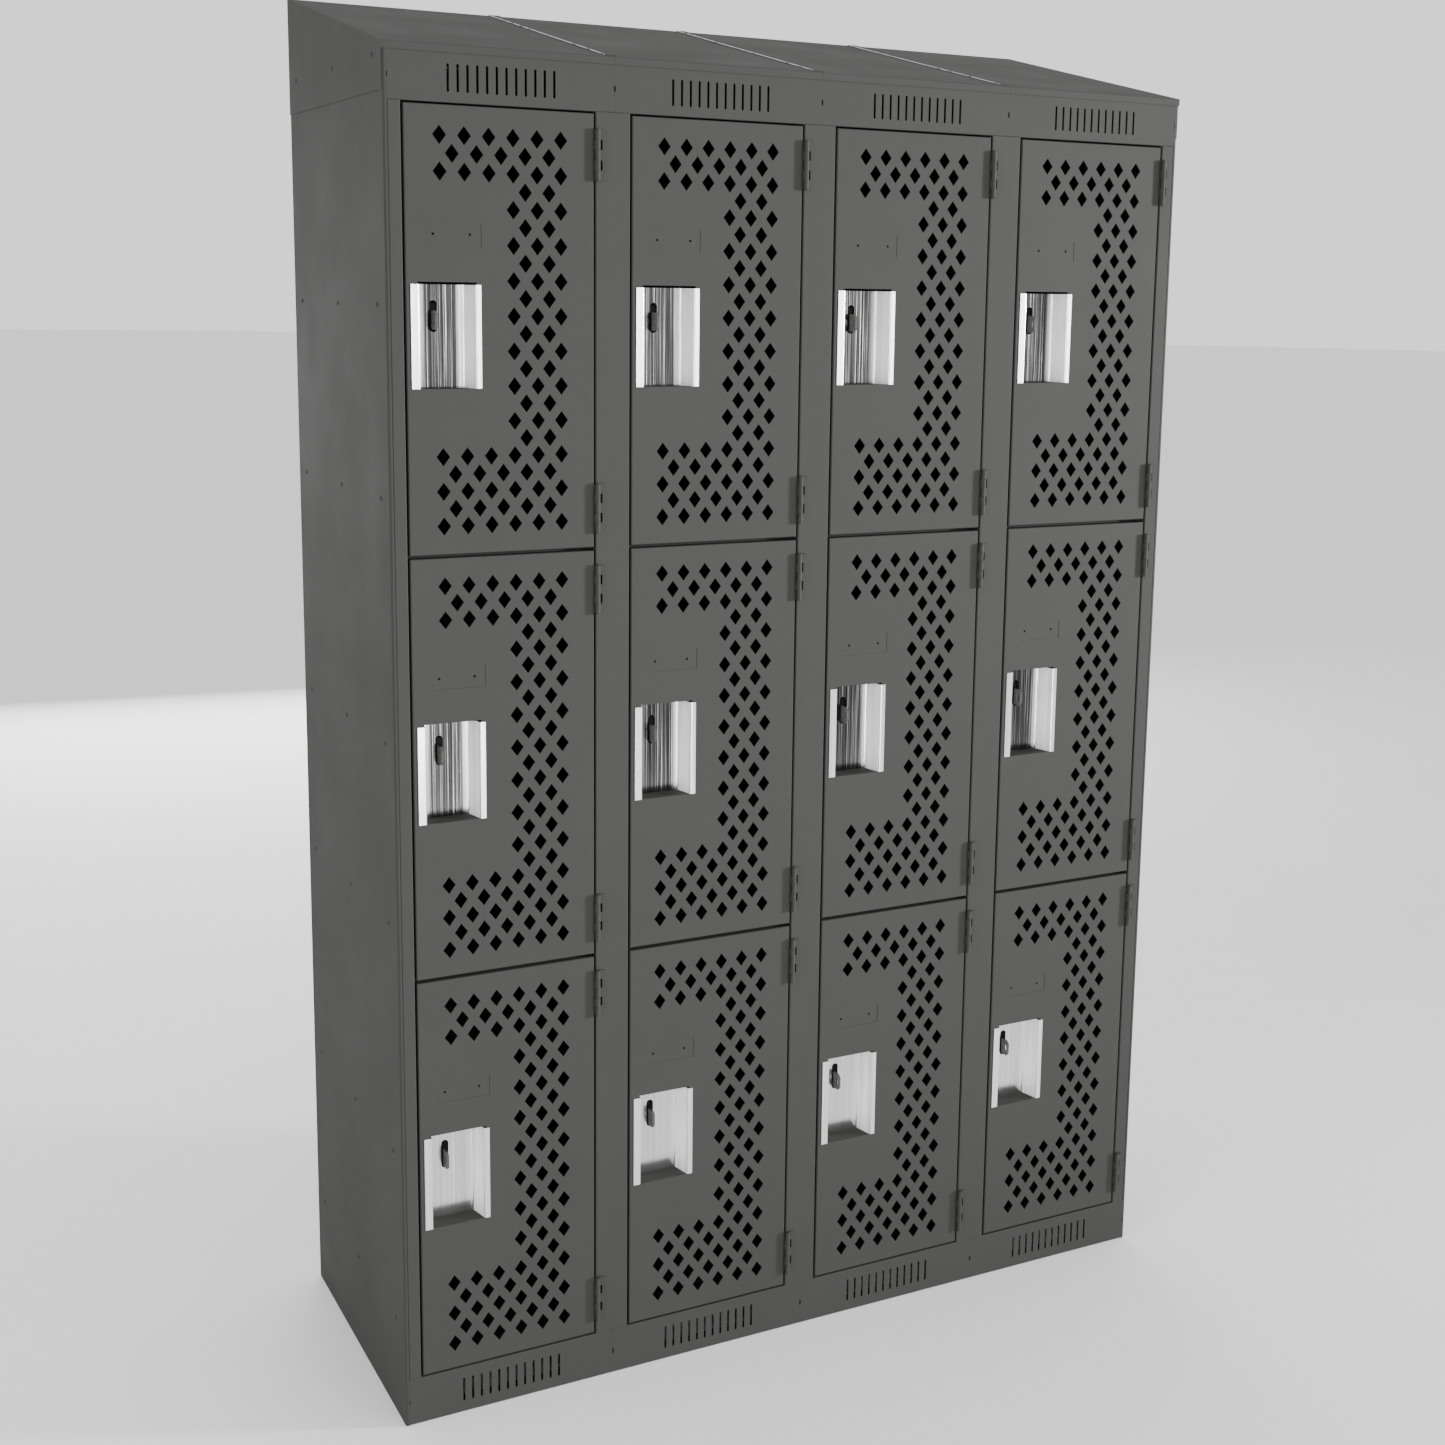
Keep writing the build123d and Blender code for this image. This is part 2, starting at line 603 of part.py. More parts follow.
def lift_latch():
    """Sliding plate behind the pan, with a nose for the strike and the padlock tongue."""
    centre = -PAN_DROP
    plate_front = PAN_DEPTH + PAN_SHEET + LATCH_GAP
    outline = (
        (LATCH_NOSE_X, centre + LATCH_NOSE_LOW),
        (LATCH_NOSE_X + LATCH_NOSE_WIDTH, centre + LATCH_NOSE_LOW),
        (LATCH_NOSE_X + LATCH_NOSE_WIDTH, centre + LATCH_PLATE_LOW),
        (LATCH_RIGHT_X, centre + LATCH_PLATE_LOW),
        (LATCH_RIGHT_X, centre + LATCH_PLATE_HIGH),
        (LATCH_NOSE_X, centre + LATCH_PLATE_HIGH),
    )
    tongue_front = FRONT_Y + PAN_DEPTH - TONGUE_REACH
    tongue_back = FRONT_Y + plate_front + LATCH_SHEET
    tongue_low = centre + TONGUE_BOTTOM
    tongue_high = tongue_low + TONGUE_HEIGHT
    with BuildPart() as latch:
        with BuildSketch(front_plane(0, 0, plate_front)):
            Polygon(*outline, align=None)
            for stud_x in STUD_XS:
                with Locations((stud_x, centre + STUD_Z - LATCH_TRAVEL / 2)):
                    SlotOverall(
                        LATCH_TRAVEL + 2 * (STUD_RADIUS + STUD_CLEARANCE),
                        2 * (STUD_RADIUS + STUD_CLEARANCE),
                        rotation=90,
                        mode=Mode.SUBTRACT,
                    )
        extrude(amount=-LATCH_SHEET)
        with BuildSketch(side_plane(TONGUE_X - TONGUE_SHEET / 2)):
            Polygon(
                (tongue_back, tongue_low),
                (tongue_front + TONGUE_CORNER, tongue_low),
                (tongue_front, tongue_low + TONGUE_CORNER),
                (tongue_front, tongue_high - TONGUE_CORNER),
                (tongue_front + TONGUE_CORNER, tongue_high),
                (tongue_back, tongue_high),
                align=None,
            )
            with Locations((tongue_front + PADLOCK_HOLE_IN, (tongue_low + tongue_high) / 2)):
                SlotOverall(
                    PADLOCK_HOLE_HEIGHT, PADLOCK_HOLE_WIDTH, rotation=90, mode=Mode.SUBTRACT
                )
        extrude(amount=TONGUE_SHEET)
    return latch.part


def latch_strike():
    """Bracket on the hidden side of the jamb, turned across the opening behind the door."""
    centre = -PAN_DROP
    jamb = UPRIGHT_WIDTH - FRAME_SHEET
    points = (
        (jamb, FRONT_Y + STRIKE_FRONT),
        (jamb, FRONT_Y + STRIKE_BACK - FRAME_SHEET),
        (STRIKE_END_X, FRONT_Y + STRIKE_BACK - FRAME_SHEET),
    )
    base = Plane.XY.offset(centre + STRIKE_Z - STRIKE_HEIGHT / 2)
    return folded_section(base, points, Side.LEFT, FRAME_SHEET, STRIKE_HEIGHT, STRIKE_BEND)


def coat_hook(ceiling):
    """Double ceiling hook: a plate and two upturned prongs."""
    x = COLUMN_WIDTH / 2
    length, width, thickness = HOOK_PLATE
    with BuildPart() as hook:
        add(
            block(
                (x - length / 2, -width / 2, ceiling - thickness),
                (x + length / 2, width / 2, ceiling),
            )
        )
        for hand in (-1, 1):
            root = x + hand * HOOK_BEND / 2
            top = ceiling - thickness / 2
            low = ceiling - thickness - HOOK_DROP
            with BuildLine() as path:
                Line((root, 0, top), (root, 0, low))
                ThreePointArc(
                    (root, 0, low),
                    (root + hand * HOOK_BEND, 0, low - HOOK_BEND),
                    (root + hand * 2 * HOOK_BEND, 0, low),
                )
                Line(
                    (root + hand * 2 * HOOK_BEND, 0, low),
                    (root + hand * 2 * HOOK_BEND, 0, low + HOOK_TIP),
                )
            with BuildSketch(Plane(origin=path.line @ 0, z_dir=path.line % 0)):
                Circle(HOOK_WIRE)
            sweep(path=path.line)
    return hook.part


def rivet(x, hand, y, z):
    """Domed rivet head on a side face."""
    with BuildPart() as head:
        with BuildSketch(Plane(origin=(x, y, z), x_dir=(0, 1, 0), z_dir=(hand, 0, 0))):
            Circle(RIVET_RADIUS)
        extrude(amount=RIVET_HEAD)
        outer = head.edges().filter_by(GeomType.CIRCLE).sort_by(Axis.X)
        fillet(outer[-1 if hand > 0 else 0], radius=RIVET_DOME)
    return head.part


def side_rivets(hand):
    """Rivets of one side: rows into the frame, the shelves and the back, and along the end cap."""
    x = hand * COLUMNS / 2 * COLUMN_WIDTH
    heads = []
    for tier in range(len(TIERS)):
        for height in SIDE_RIVET_HEIGHTS:
            for depth in SIDE_RIVET_DEPTHS:
                heads.append(rivet(x, hand, FRONT_Y + depth, tier_floor(tier) + height))
    for depth in SIDE_RIVET_DEPTHS:
        z = FRONT_HEIGHT - CAP_RIVET_DROP
        heads.append(rivet(x + hand * END_CAP_SHEET, hand, FRONT_Y + depth, z))
    return heads


def placed(piece, column, tier):
    """Copy of a piece of one locker, moved to its column and tier."""
    return piece.moved(Location((column_left(column), 0, tier_floor(tier) + TIER_HEIGHT / 2)))


def gather(pieces):
    """One node made of several separate solids."""
    with BuildPart() as group:
        add(pieces)
    return group.part


os.makedirs("parts", exist_ok=True)
columns = range(COLUMNS)
tier_lines = [tier_floor(tier) for tier in range(len(TIERS))]
cells = [(column, tier) for column in columns for tier in range(len(TIERS))]

save(side_panel(-1), "side_panel_left")
save(side_panel(1), "side_panel_right")
save(gather([partition(column) for column in columns[1:]]), "partition_panels")
save(gather([back_panel(column) for column in columns]), "back_panels")

shelf_tops = [line + PANEL_SHEET / 2 for line in tier_lines] + [FRONT_HEIGHT - RAIL_GAP]
save(gather([shelf(column, top) for column in columns for top in shelf_tops]), "shelves")

uprights = [shared_upright(column_left(column)) for column in columns[1:]]
save(gather([end_upright(1), *uprights, end_upright(-1)]), "front_uprights")

header_bottom = FRONT_HEIGHT - HEADER_HEIGHT + RAIL_GAP
base_top = BASE_RAIL_HEIGHT - RAIL_GAP
rails = []
for column in columns:
    rails.append(vent_rail(column, 0, base_top, ANCHOR_FLANGE, BASE_RAIL_HEIGHT / 2))
    header_vents = FRONT_HEIGHT - HEADER_HEIGHT / 2 - HEADER_VENT_DROP
    rails.append(vent_rail(column, header_bottom, FRONT_HEIGHT, RAIL_FLANGE, header_vents))
save(gather(rails), "vent_rails")

tops = [slope_section(column) for column in columns]
save(gather(tops + [slope_end_cap(-1), slope_end_cap(1)]), "slope_tops")

hinge_reach = DOOR_HEIGHT / 2 - HINGE_FROM_DOOR_END - HINGE_LENGTH / 2
frame_leaves = [frame_hinge_leaf(-hinge_reach), frame_hinge_leaf(hinge_reach)]
frame_leaves = [placed(leaf, *cell) for cell in cells for leaf in frame_leaves]
save(gather(frame_leaves), "frame_hinge_leaves")
strike = latch_strike()
save(gather([placed(strike, *cell) for cell in cells]), "latch_strikes")
hook = coat_hook(TIER_HEIGHT / 2 - PANEL_SHEET / 2)
ceiling_drop = shelf_tops[-1] - tier_floor(len(TIERS)) - PANEL_SHEET / 2
hooks = []
for column, tier in cells:
    raised = Location((0, 0, ceiling_drop if tier == len(TIERS) - 1 else 0))
    hooks.append(placed(hook, column, tier).moved(raised))
save(gather(hooks), "coat_hooks")
save(gather(side_rivets(-1) + side_rivets(1)), "panel_rivets")

door = door_panel()
pan = handle_pan()
latch = lift_latch()
hinges = gather([*door_hinge(-hinge_reach), *door_hinge(hinge_reach)])
for column, tier in cells:
    place = f"{TIERS[tier]}_{column + 1}"
    save(placed(door, column, tier), f"door_{place}")
    save(placed(pan, column, tier), f"handle_pan_{place}")
    save(placed(latch, column, tier), f"lift_latch_{place}")
    save(placed(hinges, column, tier), f"door_hinges_{place}")
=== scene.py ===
"""Looks for the bank of ventilated lockers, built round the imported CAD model."""

import json
import math

import bpy
from mathutils import Matrix, Vector


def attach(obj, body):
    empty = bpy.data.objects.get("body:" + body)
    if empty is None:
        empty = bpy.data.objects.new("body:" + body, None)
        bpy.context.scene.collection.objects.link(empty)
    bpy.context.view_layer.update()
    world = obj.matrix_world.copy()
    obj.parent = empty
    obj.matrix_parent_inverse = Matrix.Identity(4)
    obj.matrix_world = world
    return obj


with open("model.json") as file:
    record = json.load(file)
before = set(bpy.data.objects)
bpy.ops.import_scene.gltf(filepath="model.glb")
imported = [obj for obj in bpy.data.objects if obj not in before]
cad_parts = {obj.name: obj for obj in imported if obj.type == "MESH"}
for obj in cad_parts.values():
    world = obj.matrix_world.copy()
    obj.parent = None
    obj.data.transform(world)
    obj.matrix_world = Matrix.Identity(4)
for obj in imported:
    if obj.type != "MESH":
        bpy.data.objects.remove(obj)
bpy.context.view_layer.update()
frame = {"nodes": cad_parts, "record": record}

# Camera that matches the reference view: metres, degrees, and millimetres for lens and sensor
CAMERA_PLACE = (-1.299, -2.585, 1.540)
CAMERA_AZIMUTH = 27.84
CAMERA_ELEVATION = -9.57
CAMERA_ROLL = 0.91
CAMERA_LENS = 47.98
CAMERA_SENSOR = 36.0
CAMERA_SHIFT = (-0.0398, -0.075)
CAMERA_CLIP_END = 100.0

# Colours, linear RGBA
PAINT_COLOUR = (0.0350, 0.0350, 0.0339, 1.0)
LATCH_COLOUR = (0.06, 0.06, 0.0585, 1.0)
PAINTED_SHADE_COLOUR = (0.0015, 0.0015, 0.0015, 1.0)
STEEL_COLOUR = (0.80, 0.80, 0.795, 1.0)
ZINC_COLOUR = (0.52, 0.52, 0.50, 1.0)
PAINTED_HIGHLIGHT_DARK = (0.12, 0.12, 0.118, 1.0)
PAINTED_HIGHLIGHT_BRIGHT = (0.72, 0.72, 0.71, 1.0)
FLOOR_COLOUR = (0.93, 0.93, 0.93, 1.0)
WORLD_COLOUR = (1.0, 1.0, 1.0, 1.0)

# The part of a noise's values that its colours and roughness spread over
NOISE_LOW = 0.3
NOISE_HIGH = 0.7

# Powder coat: noise scales (per metre), bumps (strength, metres), tint, gloss and highlight
COAT_MOTTLE_SCALE = 9.0
COAT_WAVE_SCALE = 3.5
COAT_WAVE_BUMP = (0.2, 0.0002)
COAT_PEEL_SCALE = 1400.0
COAT_PEEL_BUMP = (0.12, 0.0002)
COAT_TINTS = (0.975, 1.025)
COAT_SPECULAR = 0.08
PAINT_ROUGHNESS = (0.60, 0.70)
LATCH_ROUGHNESS = (0.35, 0.5)
# Painted shade on the latch plate behind the pan: near-black colour, its noise scale, tint and fade
PAINTED_SHADE_SCALE = 300.0
PAINTED_SHADE_TINT = 2.0
PAINTED_SHADE_FADE = 0.002

# Brushed stainless: fine grain and wider bands, both drawn out along the height
GRAIN_SCALE = 2200.0
GRAIN_STRETCH = (1, 1, 0.012)
GRAIN_BUMP = (0.15, 0.0001)
BAND_SCALE = 520.0
BAND_STRETCH = (1, 0.15, 0.004)
BAND_CONTRAST = 0.75
BAND_BUMP = (0.4, 0.0002)
BAND_TINTS = ((0.35, 0.9), (0.65, 1.2))
STEEL_ROUGHNESS = (0.14, 0.26)

# Painted reflection on a pan's back, dark streaks that stand in for mirrored dark surroundings:
# tints, fades at both sides, and the rise of their amount with height
PAINTED_REFLECTION_TINTS = ((0.39, 0.015), (0.50, 0.04), (0.58, 0.15), (0.67, 0.70))
PAINTED_REFLECTION_FADE_LEFT = 0.016
PAINTED_REFLECTION_FADE_RIGHT = 0.012
PAINTED_REFLECTION_FADE_Y = 0.002
PAINTED_REFLECTION_BOTTOM_Z = 0.25
PAINTED_REFLECTION_TOP_Z = 0.95
PAINTED_REFLECTION_LEAST = 0.2

# A pan's slanted wall: how metallic it is, and how much rougher than the rest
WALL_EDGE = 0.001
WALL_METALLIC = 0.35
WALL_ROUGHER = 0.35

# Zinc plating, the painted highlight along the sloping top's sheet edges, and the floor
ZINC_SCALE = 160.0
ZINC_TINTS = ((0.35, 0.8), (0.65, 1.15))
ZINC_ROUGHNESS = (0.3, 0.5)
ZINC_BUMP = (0.1, 0.0001)
PAINTED_HIGHLIGHT_SCALE = 60.0
PAINTED_HIGHLIGHT_STRETCH = (0.2, 1, 0.2)
PAINTED_HIGHLIGHT_STOPS = (0.34, 0.46, 0.7)
PAINTED_HIGHLIGHT_TINT = 1.15
PAINTED_HIGHLIGHT_ROUGHNESS = (0.45, 0.3)
PAINTED_HIGHLIGHT_GRAIN_SCALE = 1500.0
PAINTED_HIGHLIGHT_GRAIN_BUMP = (0.2, 0.0001)
PAINTED_HIGHLIGHT_METALLIC = 0.4
FLOOR_SCALE = 2.0
FLOOR_TINT = 0.985
FLOOR_ROUGHNESS = 0.8

# Handle pans in the frame: X within a column, and Y of the pan's back and of its flange
COLUMN_WIDTH = 0.3048
PAN_BACK_LEFT = 0.0425
PAN_BACK_RIGHT = 0.1095
PAN_BACK_Y = -0.1952
PAN_FLANGE_Y = -0.2245

# Sloping top: its upper face, the laps of its sheets, and the hems along them
SLOPE_FRONT_Y = -0.2264
SLOPE_BACK_Y = 0.2322
SLOPE_FRONT_Z = 1.8304
SLOPE_RISE = 0.1016
LAP_FRONT_Y = -0.2160
LAP_BACK_Y = 0.2300
LAP_WIDTH = 0.0099
LAP_SHEET = 0.0012
HEM_RADIUS = 0.0006
HEM_STEPS = 40
HEM_SIDES = 12
HEM_TIP = 0.35
HEM_UNEVEN = 0.06
HEM_WAVE = 2.3

# Floor: rings of the disc, and its drop below the cabinet's feet
FLOOR_SIDES = 48
FLOOR_RADII = (1.0, 3.0, 9.0, 27.0, 60.0)
FLOOR_DROP = 0.0005

# Surroundings: direction axis, start and end of the change, strength before and after it
WORLD_FALLOFFS = (
    ("Z", 0.25, 0.85, 1.35, 1.1),
    ("X", -0.98, -0.5, 0.8, 1.0),
)

# Lamps: name, place, aim, then beam (degrees) and radius, or size, and power (watts)
SPOT_LAMPS = (("light_right", (11.1, -5.1, 2.2), (-0.15, -0.23, 1.7), 25.0, 0.7, 15500.0),)
AREA_LAMPS = (
    ("light_front", (2.1, -4.4, 1.4), (0.0, -0.2, 1.2), (3.6, 0.7), 45.0),
    ("light_left", (-4.6, -2.4, 1.5), (-0.5, -0.1, 1.0), (1.6, 1.8), 95.0),
    ("light_low", (-0.4, -3.6, 0.35), (0.0, -0.2, 0.2), (2.4, 0.6), 44.0),
    ("light_back", (0.6, 4.6, 1.2), (0.0, 0.2, 0.9), (4.0, 1.6), 190.0),
)


# ---------------------------------------------------------------------- node helpers
class Tree:
    """Short way to add nodes to a material or a world and link them."""

    def __init__(self, owner, space):
        owner.use_nodes = True
        self.nodes = owner.node_tree.nodes
        self.links = owner.node_tree.links
        self.place = self.nodes.new("ShaderNodeTexCoord").outputs[space]

    def link(self, source, target):
        self.links.new(source, target)

    def axes(self):
        """The place's outputs by the names X, Y and Z."""
        axes = self.nodes.new("ShaderNodeSeparateXYZ")
        self.link(self.place, axes.inputs["Vector"])
        return axes.outputs

    def noise(self, scale, detail=4.0, stretch=(1, 1, 1), roughness=0.5):
        """Noise at the place, with its axes stretched."""
        mapping = self.nodes.new("ShaderNodeMapping")
        mapping.inputs["Scale"].default_value = stretch
        self.link(self.place, mapping.inputs["Vector"])
        noise = self.nodes.new("ShaderNodeTexNoise")
        noise.inputs["Scale"].default_value = scale
        noise.inputs["Detail"].default_value = detail
        noise.inputs["Roughness"].default_value = roughness
        self.link(mapping.outputs["Vector"], noise.inputs["Vector"])
        return noise.outputs["Fac"]

    def ramp(self, source, stops):
        """Colour ramp through (position, colour) stops."""
        ramp = self.nodes.new("ShaderNodeValToRGB")
        elements = ramp.color_ramp.elements
        while len(elements) < len(stops):
            elements.new(0.5)
        for element, (position, colour) in zip(elements, stops):
            element.position = position
            element.color = colour
        self.link(source, ramp.inputs["Fac"])
        return ramp.outputs["Color"]

    def map_range(self, source, start, end, low, high):
        """Node that maps start to low and end to high."""
        node = self.nodes.new("ShaderNodeMapRange")
        node.inputs["From Min"].default_value = start
        node.inputs["From Max"].default_value = end
        node.inputs["To Min"].default_value = low
        node.inputs["To Max"].default_value = high
        self.link(source, node.inputs["Value"])
        return node

    def spread(self, source, low, high):
        """Maps the middle of a noise's values to a range of values."""
        return self.map_range(source, NOISE_LOW, NOISE_HIGH, low, high).outputs["Result"]

    def step(self, source, start, end, low=0.0, high=1.0):
        """Smooth change of a value between two places; start may lie past end."""
        node = self.map_range(source, start, end, low, high)
        node.interpolation_type = "SMOOTHSTEP"
        return node.outputs["Result"]

    def math(self, operation, first, *others):
        """Math node on a value and more values or constants."""
        node = self.nodes.new("ShaderNodeMath")
        node.operation = operation
        self.link(first, node.inputs[0])
        for index, other in enumerate(others, 1):
            if isinstance(other, float):
                node.inputs[index].default_value = other
            else:
                self.link(other, node.inputs[index])
        return node.outputs["Value"]

    def mix(self, amount, first, second):
        """Colour between two colours."""
        node = self.nodes.new("ShaderNodeMix")
        node.data_type = "RGBA"
        self.link(amount, node.inputs["Factor"])
        colours = [socket for socket in node.inputs if socket.type == "RGBA"]
        self.link(first, colours[0])
        self.link(second, colours[1])
        return next(socket for socket in node.outputs if socket.type == "RGBA")

    def bump(self, source, strength, distance, under=None):
        """Bump, on top of another one if given."""
        bump = self.nodes.new("ShaderNodeBump")
        bump.inputs["Strength"].default_value = strength
        bump.inputs["Distance"].default_value = distance
        self.link(source, bump.inputs["Height"])
        if under is not None:
            self.link(under, bump.inputs["Normal"])
        return bump.outputs["Normal"]


# ---------------------------------------------------------------------- finishes
def shade(colour, factor):
    """A colour made lighter or darker."""
    return tuple(channel * factor for channel in colour[:3]) + (1.0,)


def tints(colour, stops):
    """Ramp stops of one colour from (position, factor) pairs."""
    return [(position, shade(colour, factor)) for position, factor in stops]


def new_finish(name):
    """New material, its tree and its shader's inputs."""
    material = bpy.data.materials.new(name)
    tree = Tree(material, "Object")
    return material, tree, tree.nodes["Principled BSDF"].inputs


def coat(tree, inputs, colour, roughness):
    """Powder coat with faint mottling, orange peel and uneven gloss; gives its colour."""
    mottle = tree.noise(COAT_MOTTLE_SCALE, detail=6.0)
    tint = tree.ramp(mottle, tints(colour, zip((NOISE_LOW, NOISE_HIGH), COAT_TINTS)))
    tree.link(tree.spread(mottle, *roughness), inputs["Roughness"])
    wave = tree.bump(tree.noise(COAT_WAVE_SCALE, detail=1.0), *COAT_WAVE_BUMP)
    peel = tree.noise(COAT_PEEL_SCALE, detail=2.0)
    tree.link(tree.bump(peel, *COAT_PEEL_BUMP, under=wave), inputs["Normal"])
    inputs["Specular IOR Level"].default_value = COAT_SPECULAR
    return tint


def painted_steel(name):
    """Satin charcoal powder coat."""
    material, tree, inputs = new_finish(name)
    tint = coat(tree, inputs, PAINT_COLOUR, PAINT_ROUGHNESS)
    tree.link(tint, inputs["Base Color"])
    return material


def latch_finish(name):
    """Grey coated tongue, and painted shade: near-black colour on the plate that stays behind the
    pan.
    """
    material, tree, inputs = new_finish(name)
    tint = coat(tree, inputs, LATCH_COLOUR, LATCH_ROUGHNESS)
    # Painted shade: near-black colour behind the pan's back, so the slot shows dark
    behind = tree.step(tree.axes()["Y"], PAN_BACK_Y, PAN_BACK_Y + PAINTED_SHADE_FADE)
    stops = ((NOISE_LOW, 1.0), (NOISE_HIGH, PAINTED_SHADE_TINT))
    painted_shade = tree.ramp(tree.noise(PAINTED_SHADE_SCALE), tints(PAINTED_SHADE_COLOUR, stops))
    tree.link(tree.mix(behind, tint, painted_shade), inputs["Base Color"])
    return material


def brushed_stainless(name):
    """Stainless sheet brushed along its height, with painted reflection: darker streaks in the
    colour of the pan's recessed back.
    """
    material, tree, inputs = new_finish(name)
    grain = tree.noise(GRAIN_SCALE, detail=3.0, stretch=GRAIN_STRETCH)
    bands = tree.noise(BAND_SCALE, stretch=BAND_STRETCH, roughness=BAND_CONTRAST)
    axes = tree.axes()
    across = tree.math("WRAP", axes["X"], COLUMN_WIDTH, 0.0)

    # Painted reflection: dark streaks mixed into the colour of the pan's back, fading at its sides
    # and stronger higher up
    left = tree.step(across, PAN_BACK_LEFT, PAN_BACK_LEFT + PAINTED_REFLECTION_FADE_LEFT)
    right = tree.step(across, PAN_BACK_RIGHT, PAN_BACK_RIGHT - PAINTED_REFLECTION_FADE_RIGHT)
    height = tree.step(axes["Z"], PAINTED_REFLECTION_BOTTOM_Z, PAINTED_REFLECTION_TOP_Z, PAINTED_REFLECTION_LEAST, 1.0)
    back = tree.step(axes["Y"], PAN_BACK_Y - PAINTED_REFLECTION_FADE_Y, PAN_BACK_Y)
    amount = tree.math("MULTIPLY", tree.math("MULTIPLY", left, right), height)
    amount = tree.math("MULTIPLY", amount, back)
    plain = tree.ramp(bands, tints(STEEL_COLOUR, BAND_TINTS))
    painted_reflection = tree.ramp(bands, tints(STEEL_COLOUR, PAINTED_REFLECTION_TINTS))
    tree.link(tree.mix(amount, plain, painted_reflection), inputs["Base Color"])

    beside = tree.step(across, PAN_BACK_RIGHT - WALL_EDGE, PAN_BACK_RIGHT)
    inside = tree.step(axes["Y"], PAN_FLANGE_Y, PAN_FLANGE_Y + WALL_EDGE)
    wall = tree.math("MULTIPLY", beside, inside)
    tree.link(tree.step(wall, 0.0, 1.0, 1.0, WALL_METALLIC), inputs["Metallic"])
    gloss = tree.spread(grain, *STEEL_ROUGHNESS)
    tree.link(tree.math("MULTIPLY_ADD", wall, WALL_ROUGHER, gloss), inputs["Roughness"])
    waves = tree.bump(bands, *BAND_BUMP)
    tree.link(tree.bump(grain, *GRAIN_BUMP, under=waves), inputs["Normal"])
    return material


def zinc_plated(name):
    """Bright zinc plating with cloudy spangle."""
    material, tree, inputs = new_finish(name)
    cloud = tree.noise(ZINC_SCALE, detail=5.0)
    tree.link(tree.ramp(cloud, tints(ZINC_COLOUR, ZINC_TINTS)), inputs["Base Color"])
    tree.link(tree.spread(cloud, *ZINC_ROUGHNESS), inputs["Roughness"])
    tree.link(tree.bump(cloud, *ZINC_BUMP), inputs["Normal"])
    inputs["Metallic"].default_value = 1.0
    return material


def painted_highlight_edge(name):
    """Painted highlight along a sheet edge, bright in uneven lengths."""
    material, tree, inputs = new_finish(name)
    # Painted highlight: bright colour that stands in for light caught by the hem, broken by darker
    # stretches
    highlight_noise = tree.noise(PAINTED_HIGHLIGHT_SCALE, detail=5.0, stretch=PAINTED_HIGHLIGHT_STRETCH)
    colours = (PAINTED_HIGHLIGHT_DARK, PAINTED_HIGHLIGHT_BRIGHT, shade(PAINTED_HIGHLIGHT_BRIGHT, PAINTED_HIGHLIGHT_TINT))
    tree.link(tree.ramp(highlight_noise, list(zip(PAINTED_HIGHLIGHT_STOPS, colours))), inputs["Base Color"])
    tree.link(tree.spread(highlight_noise, *PAINTED_HIGHLIGHT_ROUGHNESS), inputs["Roughness"])
    tree.link(tree.bump(tree.noise(PAINTED_HIGHLIGHT_GRAIN_SCALE), *PAINTED_HIGHLIGHT_GRAIN_BUMP), inputs["Normal"])
    inputs["Metallic"].default_value = PAINTED_HIGHLIGHT_METALLIC
    return material


def studio_floor(name):
    """Pale matt floor."""
    material, tree, inputs = new_finish(name)
    stops = ((NOISE_LOW, FLOOR_TINT), (NOISE_HIGH, 1.0))
    tint = tree.ramp(tree.noise(FLOOR_SCALE, detail=5.0), tints(FLOOR_COLOUR, stops))
    tree.link(tint, inputs["Base Color"])
    inputs["Roughness"].default_value = FLOOR_ROUGHNESS
    return material


# ---------------------------------------------------------------------- stage
def add_object(name, data):
    """New object in the scene."""
    thing = bpy.data.objects.new(name, data)
    bpy.context.collection.objects.link(thing)
    return thing


def add_camera():
    """Camera at the reference view's place, angle and framing."""
    data = bpy.data.cameras.new("camera")
    camera = add_object("camera", data)
    azimuth, elevation = math.radians(CAMERA_AZIMUTH), math.radians(CAMERA_ELEVATION)
    level = math.cos(elevation)
    forward = Vector((math.sin(azimuth) * level, math.cos(azimuth) * level, math.sin(elevation)))
    turn = forward.to_track_quat("-Z", "Y").to_matrix().to_4x4()
    roll = Matrix.Rotation(math.radians(CAMERA_ROLL), 4, "Z")
    camera.matrix_world = Matrix.Translation(CAMERA_PLACE) @ turn @ roll
    data.lens = CAMERA_LENS
    data.sensor_width = CAMERA_SENSOR
    data.shift_x, data.shift_y = CAMERA_SHIFT
    data.clip_end = CAMERA_CLIP_END
    bpy.context.scene.camera = camera


def ring_faces(rings, sides):
    """Quads between rings of corners that are numbered ring by ring."""
    faces = []
    for ring in range(rings - 1):
        inner, outer = ring * sides, (ring + 1) * sides
        for side in range(sides):
            after = (side + 1) % sides
            faces.append((inner + side, outer + side, outer + after, inner + after))
    return faces


def add_floor():
    """Large pale floor under the cabinet."""
    corners = []
    for radius in FLOOR_RADII:
        for side in range(FLOOR_SIDES):
            angle = math.tau * side / FLOOR_SIDES
            corners.append((radius * math.cos(angle), radius * math.sin(angle), 0.0))
    centre = len(corners)
    corners.append((0.0, 0.0, 0.0))
    faces = ring_faces(len(FLOOR_RADII), FLOOR_SIDES)
    faces += [(centre, side, (side + 1) % FLOOR_SIDES) for side in range(FLOOR_SIDES)]
    mesh = bpy.data.meshes.new("floor")
    mesh.from_pydata(corners, [], faces)
    mesh.materials.append(studio_floor("floor"))
    floor = add_object("floor", mesh)
    floor.location.z = -FLOOR_DROP


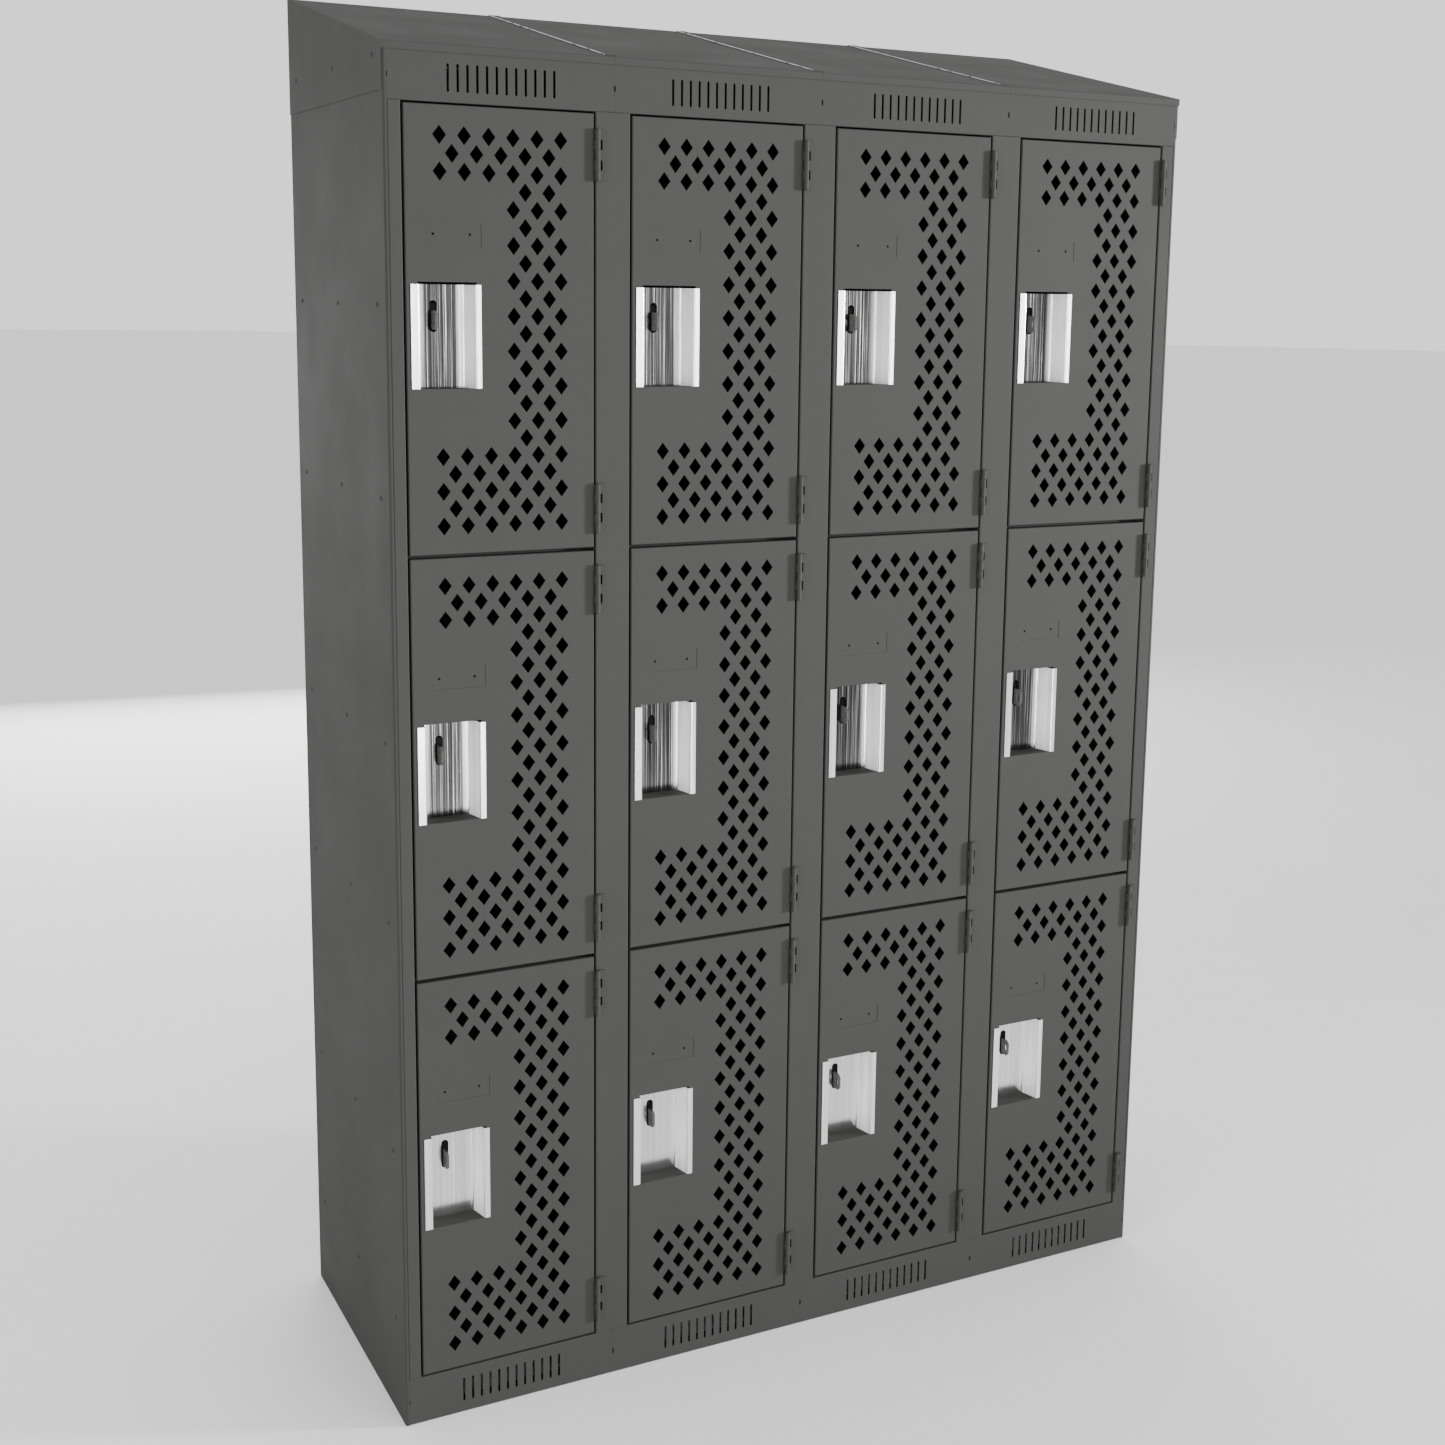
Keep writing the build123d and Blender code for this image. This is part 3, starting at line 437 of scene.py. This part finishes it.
def add_lamp(name, data, place, aim, power):
    """Puts a lamp at a place, turned to an aim, that the camera doesn't see."""
    data.energy = power
    lamp = add_object(name, data)
    lamp.location = place
    lamp.visible_camera = False
    direction = Vector(aim) - Vector(place)
    lamp.rotation_euler = direction.to_track_quat("-Z", "Y").to_euler()


def add_lamps():
    """A far soft-edged spot lamp and the soft area lamps."""
    for name, place, aim, beam, radius, power in SPOT_LAMPS:
        data = bpy.data.lights.new(name, "SPOT")
        data.spot_size = math.radians(beam)
        data.spot_blend = 1.0
        data.shadow_soft_size = radius
        add_lamp(name, data, place, aim, power)
    for name, place, aim, size, power in AREA_LAMPS:
        data = bpy.data.lights.new(name, "AREA")
        data.shape = "RECTANGLE"
        data.size, data.size_y = size
        add_lamp(name, data, place, aim, power)


def add_world():
    """White surroundings, dimmer overhead and to the left."""
    world = bpy.data.worlds.new("studio")
    bpy.context.scene.world = world
    tree = Tree(world, "Generated")
    inputs = tree.nodes["Background"].inputs
    inputs["Color"].default_value = WORLD_COLOUR
    axes = tree.axes()
    falls = [tree.step(axes[axis], *change) for axis, *change in WORLD_FALLOFFS]
    tree.link(tree.math("MULTIPLY", *falls), inputs["Strength"])


# ---------------------------------------------------------------------- materials on the frame
def dress_frame():
    """Gives each CAD node the finish of its slot."""
    finishes = {
        "charcoal_paint": painted_steel("charcoal_paint"),
        "brushed_stainless": brushed_stainless("brushed_stainless"),
        "latch_grey": latch_finish("latch_grey"),
        "zinc_plated_steel": zinc_plated("zinc_plated_steel"),
    }
    slots = {row["node"]: row["material_slot"] for row in frame["record"]["subparts"]}
    for node, thing in frame["nodes"].items():
        material = finishes[slots[node]]
        if not thing.material_slots:
            thing.data.materials.append(material)
        for material_slot in thing.material_slots:
            material_slot.material = material


# ---------------------------------------------------------------------- sloping top
def slope_height(y):
    """Z of the sloping sheets' upper face at a given depth."""
    return SLOPE_FRONT_Z + SLOPE_RISE * (y - SLOPE_FRONT_Y) / (SLOPE_BACK_Y - SLOPE_FRONT_Y)


def bead(name, places, radius, sides):
    """Slightly uneven rounded rib through a line of places, closed and tapered at its ends."""
    last = len(places) - 1
    corners = []
    for index, (x, y, z) in enumerate(places):
        taper = HEM_TIP if index in (0, last) else 1.0
        size = radius * taper * (1.0 + HEM_UNEVEN * math.sin(HEM_WAVE * index))
        for side in range(sides):
            angle = math.tau * side / sides
            corners.append((x + size * math.cos(angle), y, z + size * math.sin(angle)))
    faces = ring_faces(len(places), sides)
    faces.append(tuple(range(sides)))
    faces.append(tuple(reversed(range(last * sides, (last + 1) * sides))))
    mesh = bpy.data.meshes.new(name)
    mesh.from_pydata(corners, [], faces)
    mesh.shade_smooth()
    return add_object(name, mesh)


def add_seam_hems():
    """Hem with a painted highlight along the raised edge of each lap in the sloping top."""
    material = painted_highlight_edge("painted_highlight_edge")
    for number, boundary in enumerate((-COLUMN_WIDTH, 0.0, COLUMN_WIDTH), 1):
        places = []
        for index in range(HEM_STEPS + 1):
            y = LAP_FRONT_Y + (LAP_BACK_Y - LAP_FRONT_Y) * index / HEM_STEPS
            places.append((boundary - LAP_WIDTH, y, slope_height(y) + LAP_SHEET - HEM_RADIUS / 2))
        hem = bead(f"slope_hem_{number}", places, HEM_RADIUS, HEM_SIDES)
        hem.data.materials.append(material)
        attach(hem, "cabinet")


add_camera()
add_floor()
add_world()
add_lamps()
dress_frame()
add_seam_hems()
